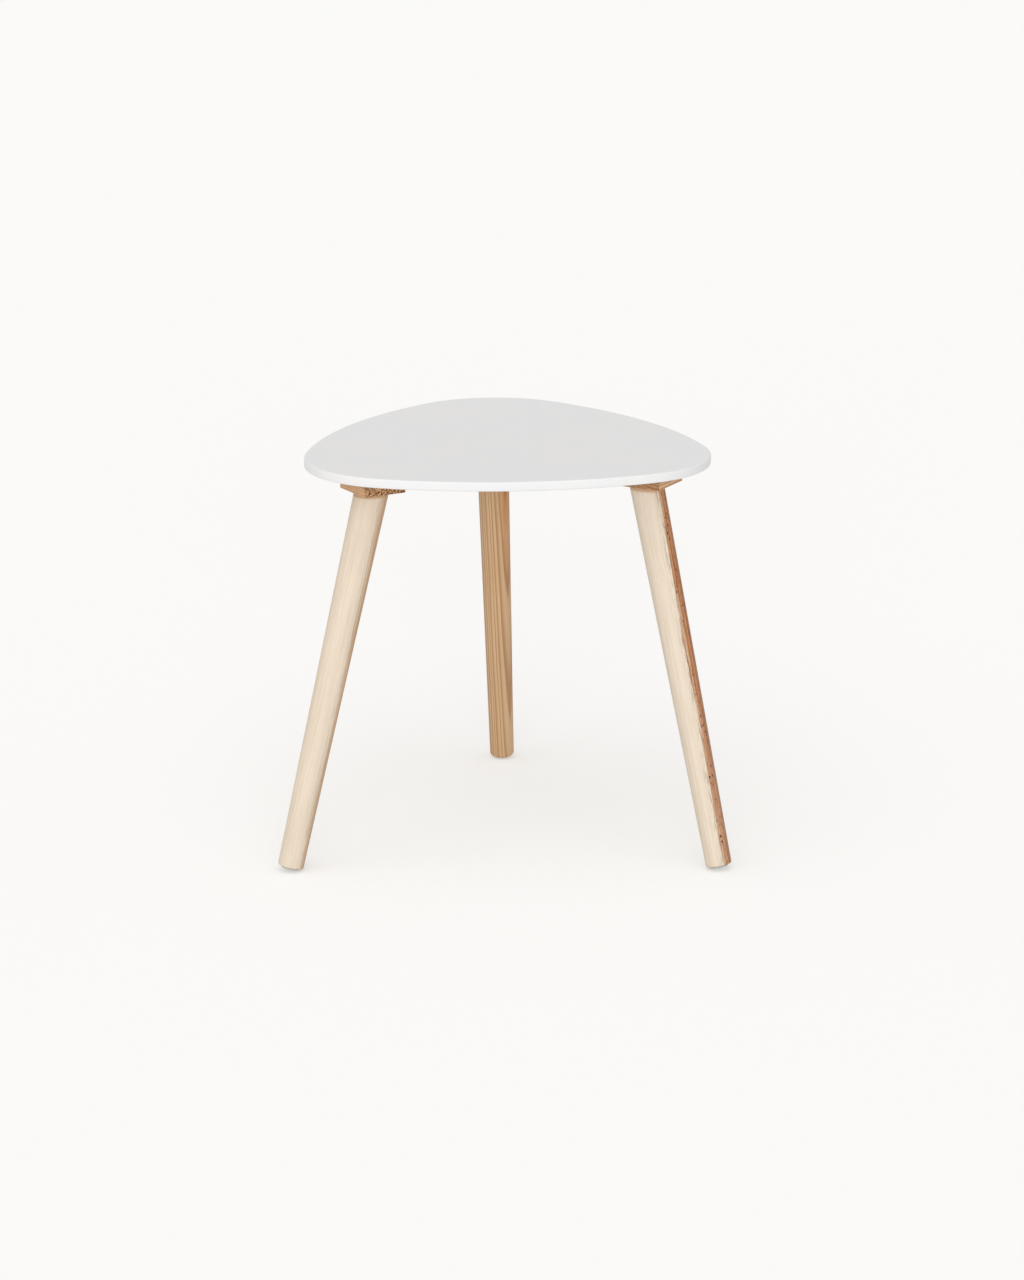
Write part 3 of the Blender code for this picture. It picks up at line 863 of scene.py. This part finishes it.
def makeLegs(looks):  # turned along its own axis, leaned, cut level, bored and copied
    sizes = legSizes
    taper = (sizes["topDiameter"] - sizes["footDiameter"]) / 2 / legLength
    headRadius = sizes["topDiameter"] / 2 + taper * sizes["spare"]
    footRadius = sizes["footDiameter"] / 2
    depth = legLength + sizes["spare"]
    deselectAll()
    bpy.ops.mesh.primitive_cylinder_add(
        vertices=sizes["vertices"], radius=headRadius, depth=depth,
        location=(0, 0, sizes["spare"] - depth / 2), end_fill_type="NGON",
    )
    leg = named("legMaster")
    applyPlace(leg)
    editObject(leg)
    pick(leg, "VERT", lambda v: abs(v.co.z + legLength) < sameLevel)
    shrink = footRadius / headRadius
    bpy.ops.transform.resize(value=(shrink, shrink, 1), center_override=(0, 0, -legLength))
    pick(leg, "EDGE", edgeAt(-legLength))
    bpy.ops.mesh.bevel(offset=sizes["footRound"], segments=sizes["footSegments"], affect="EDGES")
    pick(leg, "FACE", lambda f: f.normal.z < -0.99)
    bpy.ops.mesh.inset(thickness=sizes["footInset"])
    closeEdit()
    leg.data.transform(lean)
    editObject(leg)
    bpy.ops.mesh.select_all(action="SELECT")
    bpy.ops.mesh.bisect(
        plane_co=(0, 0, 0), plane_no=(0, 0, 1), use_fill=True, clear_outer=True,
    )
    closeEdit()
    bpy.ops.mesh.primitive_cylinder_add(
        vertices=sizes["boreVertices"], radius=sizes["boreDiameter"] / 2,
        depth=2 * sizes["boreDepth"], location=(0, 0, 0),
    )
    combine(leg, named("boreCutter"))
    smoothed(leg, 35)
    for station, azimuth in stations.items():
        name = "leg" + station.capitalize()
        piece = placedCopy(leg, name, stationMatrix(azimuth))
        # the grain turns with the leg so that its +X side faces the front of the table
        facing = math.radians(cameraView["facing"] - azimuth - sizes["turn"])
        place = stationMatrix(azimuth) @ lean @ Matrix.Rotation(facing, 4, "Z")
        # the painted shade under the block begins at the leg's cut top
        look = {**looks[station], "topTintAndShadeFrom": legTopLevel}
        material = pineMaterial("pineLeg" + station.capitalize(), look, place)
        finishPiece(piece, material, "pine_leg", "leg_" + station)
    bpy.data.objects.remove(leg, do_unlink=True)
    print("legs done")


def makePads(material):
    sizes = legSizes
    deselectAll()
    bpy.ops.mesh.primitive_cylinder_add(
        vertices=sizes["padVertices"], radius=sizes["padDiameter"] / 2, depth=sizes["padThickness"],
        location=(0, 0, sizes["padThickness"] / 2 - padDrop),
    )
    pad = named("padMaster")
    applyPlace(pad)
    editObject(pad)
    levels = (-padDrop, sizes["padThickness"] - padDrop)
    pick(pad, "EDGE", lambda e: any(edgeAt(level)(e) for level in levels))
    bpy.ops.mesh.bevel(offset=sizes["padRound"], segments=sizes["padSegments"], affect="EDGES")
    for inset in sizes["padInsets"]:
        pick(pad, "FACE", lambda f: abs(f.normal.z) > 0.99 and len(f.verts) > 8)
        bpy.ops.mesh.inset(thickness=inset)
    closeEdit()
    smoothed(pad, 50)
    for station, azimuth in stations.items():
        piece = placedCopy(pad, "footPad" + station.capitalize(), stationMatrix(azimuth) @ lean)
        finishPiece(piece, material, "grey_felt", "foot_pad_" + station)
    bpy.data.objects.remove(pad, do_unlink=True)
    print("foot pads done")


def makeBlocks(looks):  # a sawn block with broken edges, bored for its insert and screws
    sizes = blockSizes
    deselectAll()
    bpy.ops.mesh.primitive_cube_add(size=1, location=(0, 0, blockHeight / 2))
    block = named("blockMaster")
    block.scale = (sizes["length"], sizes["width"], blockHeight)
    applyPlace(block)
    editObject(block)
    bpy.ops.mesh.select_all(action="SELECT")
    bpy.ops.mesh.bevel(offset=sizes["edgeBreak"], segments=sizes["edgeSegments"], affect="EDGES")
    closeEdit()
    sink = sizes["sinkHole"] - sizes["screwHole"] + sizes["sinkRim"]
    past = blockHeight + overrun
    combine(block, drillHoles("screwCutter", (
        (0, past), (sizes["screwHole"], past), (sizes["screwHole"], sink),
        (sizes["sinkHole"], sizes["sinkRim"]), (sizes["sinkHole"], -overrun), (0, -overrun),
    ), [Matrix.Translation(spot) for spot in screwSpots]))
    boltSpot = blockMatrix.inverted() @ Vector((0, 0, legSizes["gap"]))
    combine(block, drillHoles("insertCutter", (
        (0, sizes["insertDepth"]), (sizes["insertHole"], sizes["insertDepth"]),
        (sizes["insertHole"], sizes["flangeDepth"]), (sizes["flangeHole"], sizes["flangeDepth"]),
        (sizes["flangeHole"], -overrun), (0, -overrun),
    ), [Matrix.Translation(boltSpot)]))
    smoothed(block, 35)
    middle = Matrix.Translation((0, 0, blockHeight / 2))
    grainTurn = Matrix.Rotation(math.radians(-90), 4, "X")      # the grain runs along the width
    for station, azimuth in stations.items():
        place = stationMatrix(azimuth) @ blockMatrix
        piece = placedCopy(block, "block" + station.capitalize(), place)
        grain = place @ middle @ grainTurn
        material = pineMaterial("pineBlock" + station.capitalize(), looks[station], grain)
        finishPiece(piece, material, "pine_block", "mounting_block_" + station)
    bpy.data.objects.remove(block, do_unlink=True)
    print("blocks done")


boltSizes = {
    "inLeg": 0.032,
    "inBlock": 0.0145,
    "plain": 0.004,            # smooth length either side of the joint
    "radius": 0.004,
    "shankEase": 0.0001,       # the smooth length is this much thinner
    "shankSlope": 0.0005,
    "chamfer": 0.0007,
    "pointLength": 0.003,
    "tipRadius": 0.0006,
    "clearance": 0.0003,       # from the thread to the shapes that trim it
    "machineOverlap": 0.0002,  # how far the smooth length runs into each thread
    "woodOverlap": 0.0006,
    "trimOverlap": 0.001,      # how far a trimming shape runs past its thread
    "steps": 32,
    "turnSteps": 48,
    "machine": {"root": 0.00332, "crest": 0.004, "pitch": 0.00125, "share": 0.95},
    "wood": {"root": 0.00285, "crest": 0.004, "pitch": 0.0030, "share": 0.60},
}


def makeBolts(material):
    sizes = boltSizes
    radius, top, foot, plain = sizes["radius"], sizes["inBlock"], -sizes["inLeg"], sizes["plain"]
    over, past, steps = sizes["clearance"], plain - sizes["trimOverlap"], sizes["turnSteps"]
    bolt = threadedRod("boltMaster", sizes["wood"], foot - over, -plain, sizes["steps"])
    combine(bolt, turnedPiece("woodEnd", (
        (0, -past), (radius + over, -past), (radius + over, foot + sizes["pointLength"]),
        (sizes["tipRadius"], foot), (0, foot),
    ), steps), "INTERSECT")
    machine = threadedRod("machineEnd", sizes["machine"], plain, top + over, sizes["steps"])
    combine(machine, turnedPiece("chamferedEnd", (
        (0, top), (radius - sizes["chamfer"], top), (radius + over, top - sizes["chamfer"] - over),
        (radius + over, past), (0, past),
    ), steps), "INTERSECT")
    upper, lower = plain + sizes["machineOverlap"], -plain - sizes["woodOverlap"]
    smooth, slope = radius - sizes["shankEase"], plain - sizes["shankSlope"]
    shank = turnedPiece("shank", (
        (0, upper), (sizes["machine"]["root"], upper), (smooth, slope),
        (smooth, -slope), (sizes["wood"]["root"], lower), (0, lower),
    ), steps)
    combine(bolt, shank, "UNION")
    combine(bolt, machine, "UNION")
    smoothed(bolt, 30)
    for station, azimuth in stations.items():
        piece = placedCopy(bolt, "hangerBolt" + station.capitalize(), stationMatrix(azimuth))
        finishPiece(piece, material, "zinc", "hanger_bolt_" + station)
    bpy.data.objects.remove(bolt, do_unlink=True)
    print("hanger bolts done")


insertSizes = {
    "length": 0.0135,
    "flangeRadius": 0.0075,
    "flangeThickness": 0.0015,
    "slotWidth": 0.0020,
    "slotDepth": 0.0009,
    "leadIn": 0.0015,          # length of the tapered start
    "leadInStep": 0.0002,      # how far its end is inside the thread's root
    "rimChamfer": 0.0004,
    "faceChamfer": 0.0003,
    "steps": 32,
    "turnSteps": 48,
    "flangeSteps": 64,
    "outer": {"root": 0.00505, "crest": 0.00575, "pitch": 0.0025, "share": 0.55},
    "inner": {"root": 0.00412, "crest": 0.00450, "pitch": 0.00125, "share": 0.95},
}


def makeInserts(material):
    sizes = insertSizes
    root, crest, length = sizes["outer"]["root"], sizes["outer"]["crest"], sizes["length"]
    flange, thickness = sizes["flangeRadius"], sizes["flangeThickness"]
    insert = threadedRod("insertMaster", sizes["outer"], thickness / 2, length, sizes["steps"])
    combine(insert, turnedPiece("leadIn", (
        (0, length), (root - sizes["leadInStep"], length), (crest, length - sizes["leadIn"]),
        (crest, 0), (0, 0),
    ), sizes["turnSteps"]), "INTERSECT")
    rim, face = sizes["rimChamfer"], sizes["faceChamfer"]
    combine(insert, turnedPiece("flange", (
        (0, thickness), (flange - rim, thickness), (flange, thickness - rim),
        (flange, face), (flange - face, 0), (0, 0),
    ), sizes["flangeSteps"]), "UNION")
    combine(insert, threadedRod("tap", sizes["inner"], -overrun, length + overrun, sizes["steps"]))
    deselectAll()
    bpy.ops.mesh.primitive_cube_add(size=1, location=(0, 0, 0))
    slot = named("driverSlot")
    slot.scale = (3 * flange, sizes["slotWidth"], 2 * sizes["slotDepth"])
    applyPlace(slot)
    combine(insert, slot)
    smoothed(insert, 30)
    lift = Matrix.Translation((0, 0, legSizes["gap"]))
    for station, azimuth in stations.items():
        piece = placedCopy(insert, "threadedInsert" + station.capitalize(), stationMatrix(azimuth) @ lift)
        finishPiece(piece, material, "zinc", "threaded_insert_" + station)
    bpy.data.objects.remove(insert, do_unlink=True)
    print("inserts done")


def makeScrews(material):  # head down at z = 0, point up
    sizes = screwSizes
    head, rim, shank = sizes["headRadius"], sizes["headRim"], sizes["shankRadius"]
    low, length, crest = sizes["threadLow"], sizes["length"], sizes["thread"]["crest"]
    clear, past = crest + sizes["clearance"], sizes["trimOverlap"]
    end = length + sizes["endClearance"]
    screw = threadedRod("screwMaster", sizes["thread"], low, end, sizes["steps"])
    combine(screw, turnedPiece("screwPoint", (
        (0, length), (clear, length - sizes["pointLength"]), (clear, low + past),
        (shank, low - past), (0, low - past),
    ), sizes["pointSteps"]), "INTERSECT")
    neck, inside, broken = rim + head - shank, low + sizes["bodyOverlap"], sizes["rimBreak"]
    body = turnedPiece("screwHead", (
        (0, inside), (shank, inside), (shank, neck + sizes["neckAbove"]),
        (shank + sizes["neckOut"], neck - sizes["neckBelow"]), (head, rim),
        (head, broken), (head - broken, 0), (0, 0),
    ), sizes["turnSteps"])
    combine(screw, body, "UNION")
    for turn, deeper in ((0, 1.0), (90, 1.04)):                 # no two floors on one level
        deselectAll()
        bpy.ops.mesh.primitive_cube_add(size=1, location=(0, 0, 0))
        recess = named("recess")
        recess.scale = (sizes["recessSpan"], sizes["recessWidth"], 2 * deeper * sizes["recessDepth"])
        applyPlace(recess)
        editObject(recess)
        pick(recess, "FACE", lambda f: f.normal.z > 0.9)
        bpy.ops.transform.resize(value=sizes["recessTaper"])
        closeEdit()
        recess.data.transform(Matrix.Rotation(math.radians(turn), 4, "Z"))
        combine(screw, recess)
    smoothed(screw, 30)
    for station, azimuth in stations.items():
        for number, spot in enumerate(screwSpots, 1):
            turned = Matrix.Rotation(math.radians(sizes["turnBetween"] * number + azimuth), 4, "Z")
            place = stationMatrix(azimuth) @ blockMatrix @ Matrix.Translation(spot) @ turned
            piece = placedCopy(screw, f"blockScrew{station.capitalize()}{number}", place)
            finishPiece(piece, material, "zinc", f"block_screw_{station}_{number}")
    bpy.data.objects.remove(screw, do_unlink=True)
    print("screws done")


# Camera, light and floor

cameraView = {
    "azimuth": 4.55,           # to the left of the table's front
    "elevation": 15.85,
    "distance": 3.908,
    "aside": 0.0093,           # aim point to the right of the table's axis
    "aimHeight": 0.2228,
    "lens": 98.16,
    "facing": 265.5,           # direction from the table to the camera
}

floorSizes = {
    "radius": 14,
    "vertices": 64,
    "drop": 0.0002,            # how far the floor is below the pads
    "paper": (0.80, 0.793, 0.78, 1),
    "shadowShare": 0.6,        # how much of the shadow on it the camera sees
    "openLight": 0.878,        # light on the open floor, from the sky and the lamps
}

skyStrength = 0.6

lampSizes = {                  # azimuths from the table's front, negative to the left
    "key": {"strength": 0.78, "softness": 70, "elevation": 60, "azimuth": -20, "mirrored": True},
    "fill": {"strength": 1.60, "softness": 36, "elevation": 7, "azimuth": -7, "mirrored": False},
}

backdrop = fromSrgb(250, 249, 247)


def makeCamera():
    view = cameraView
    azimuth = math.radians(view["azimuth"])
    elevation = math.radians(view["elevation"])
    aim = tableAxis + Vector((view["aside"], 0, view["aimHeight"]))
    level = math.cos(elevation)
    away = Vector((-math.sin(azimuth) * level, -math.cos(azimuth) * level, math.sin(elevation)))
    data = bpy.data.cameras.new("camera")
    data.lens = view["lens"]
    camera = bpy.data.objects.new("camera", data)
    camera.location = aim + away * view["distance"]
    camera.rotation_euler = (math.radians(90) - elevation, 0, -azimuth)
    bpy.context.scene.collection.objects.link(camera)
    bpy.context.scene.camera = camera
    print("camera done")


def seenRays(tree):  # 1 where the camera, a reflection or a clear material looks
    path = put(tree, "LightPath")
    seen = calc(tree, "MAXIMUM", path.outputs["Is Camera Ray"], path.outputs["Is Glossy Ray"])
    return calc(tree, "MAXIMUM", seen, path.outputs["Is Transmission Ray"])


def makeFloor():  # seen as a plain backdrop with part of its shadow, and pale paper to the light
    sizes = floorSizes
    deselectAll()
    bpy.ops.mesh.primitive_circle_add(
        vertices=sizes["vertices"], radius=sizes["radius"], fill_type="NGON",
        location=(0, 0, -sizes["drop"]),
    )
    floor = named("floor")
    material = newMaterial("floorPaper")
    tree = material.node_tree
    paper = put(tree, "BsdfDiffuse", {"Color": sizes["paper"]})
    share = sizes["shadowShare"]
    glowing = [value - share * sizes["openLight"] for value in backdrop[:3]]
    pale = put(tree, "BsdfDiffuse", {"Color": (share, share, share, 1)})
    glow = put(tree, "Emission", {"Color": (*glowing, 1), "Strength": 1.0})
    shown = put(tree, "AddShader", {0: pale.outputs[0], 1: glow.outputs[0]})
    both = put(tree, "MixShader", {0: seenRays(tree), 1: paper.outputs[0], 2: shown.outputs[0]})
    closeTree(tree, both.outputs[0])
    floor.data.materials.append(material)
    print("floor done")


def makeLight():
    scene = bpy.context.scene
    world = bpy.data.worlds.new("studio")
    scene.world = world
    world.use_nodes = True
    tree = world.node_tree
    tree.nodes.clear()
    sky = put(tree, "Background", {"Color": (1, 1, 1, 1), "Strength": skyStrength})
    shown = put(tree, "Background", {"Color": backdrop, "Strength": 1.0})
    both = put(tree, "MixShader", {0: seenRays(tree), 1: sky.outputs[0], 2: shown.outputs[0]})
    put(tree, "OutputWorld", {"Surface": both.outputs[0]})

    for name, lamp in lampSizes.items():
        data = bpy.data.lights.new(name, "SUN")
        data.energy = lamp["strength"]
        data.angle = math.radians(lamp["softness"])
        obj = bpy.data.objects.new(name, data)
        obj.rotation_euler = (math.radians(90 - lamp["elevation"]), 0, math.radians(lamp["azimuth"]))
        obj.visible_glossy = lamp["mirrored"]
        scene.collection.objects.link(obj)
    scene.view_settings.view_transform = "Standard"
    print("light done")


makeCamera()
makeBoard(lacquerMaterial(lacquer))
makeLegs(legLooks)
makePads(feltMaterial(felt))
makeBlocks(blockLooks)
makeBolts(zincMaterial("brightZinc", brightZinc))
makeInserts(zincMaterial("castZinc", castZinc))
makeScrews(zincMaterial("yellowZinc", yellowZinc))
makeFloor()
makeLight()
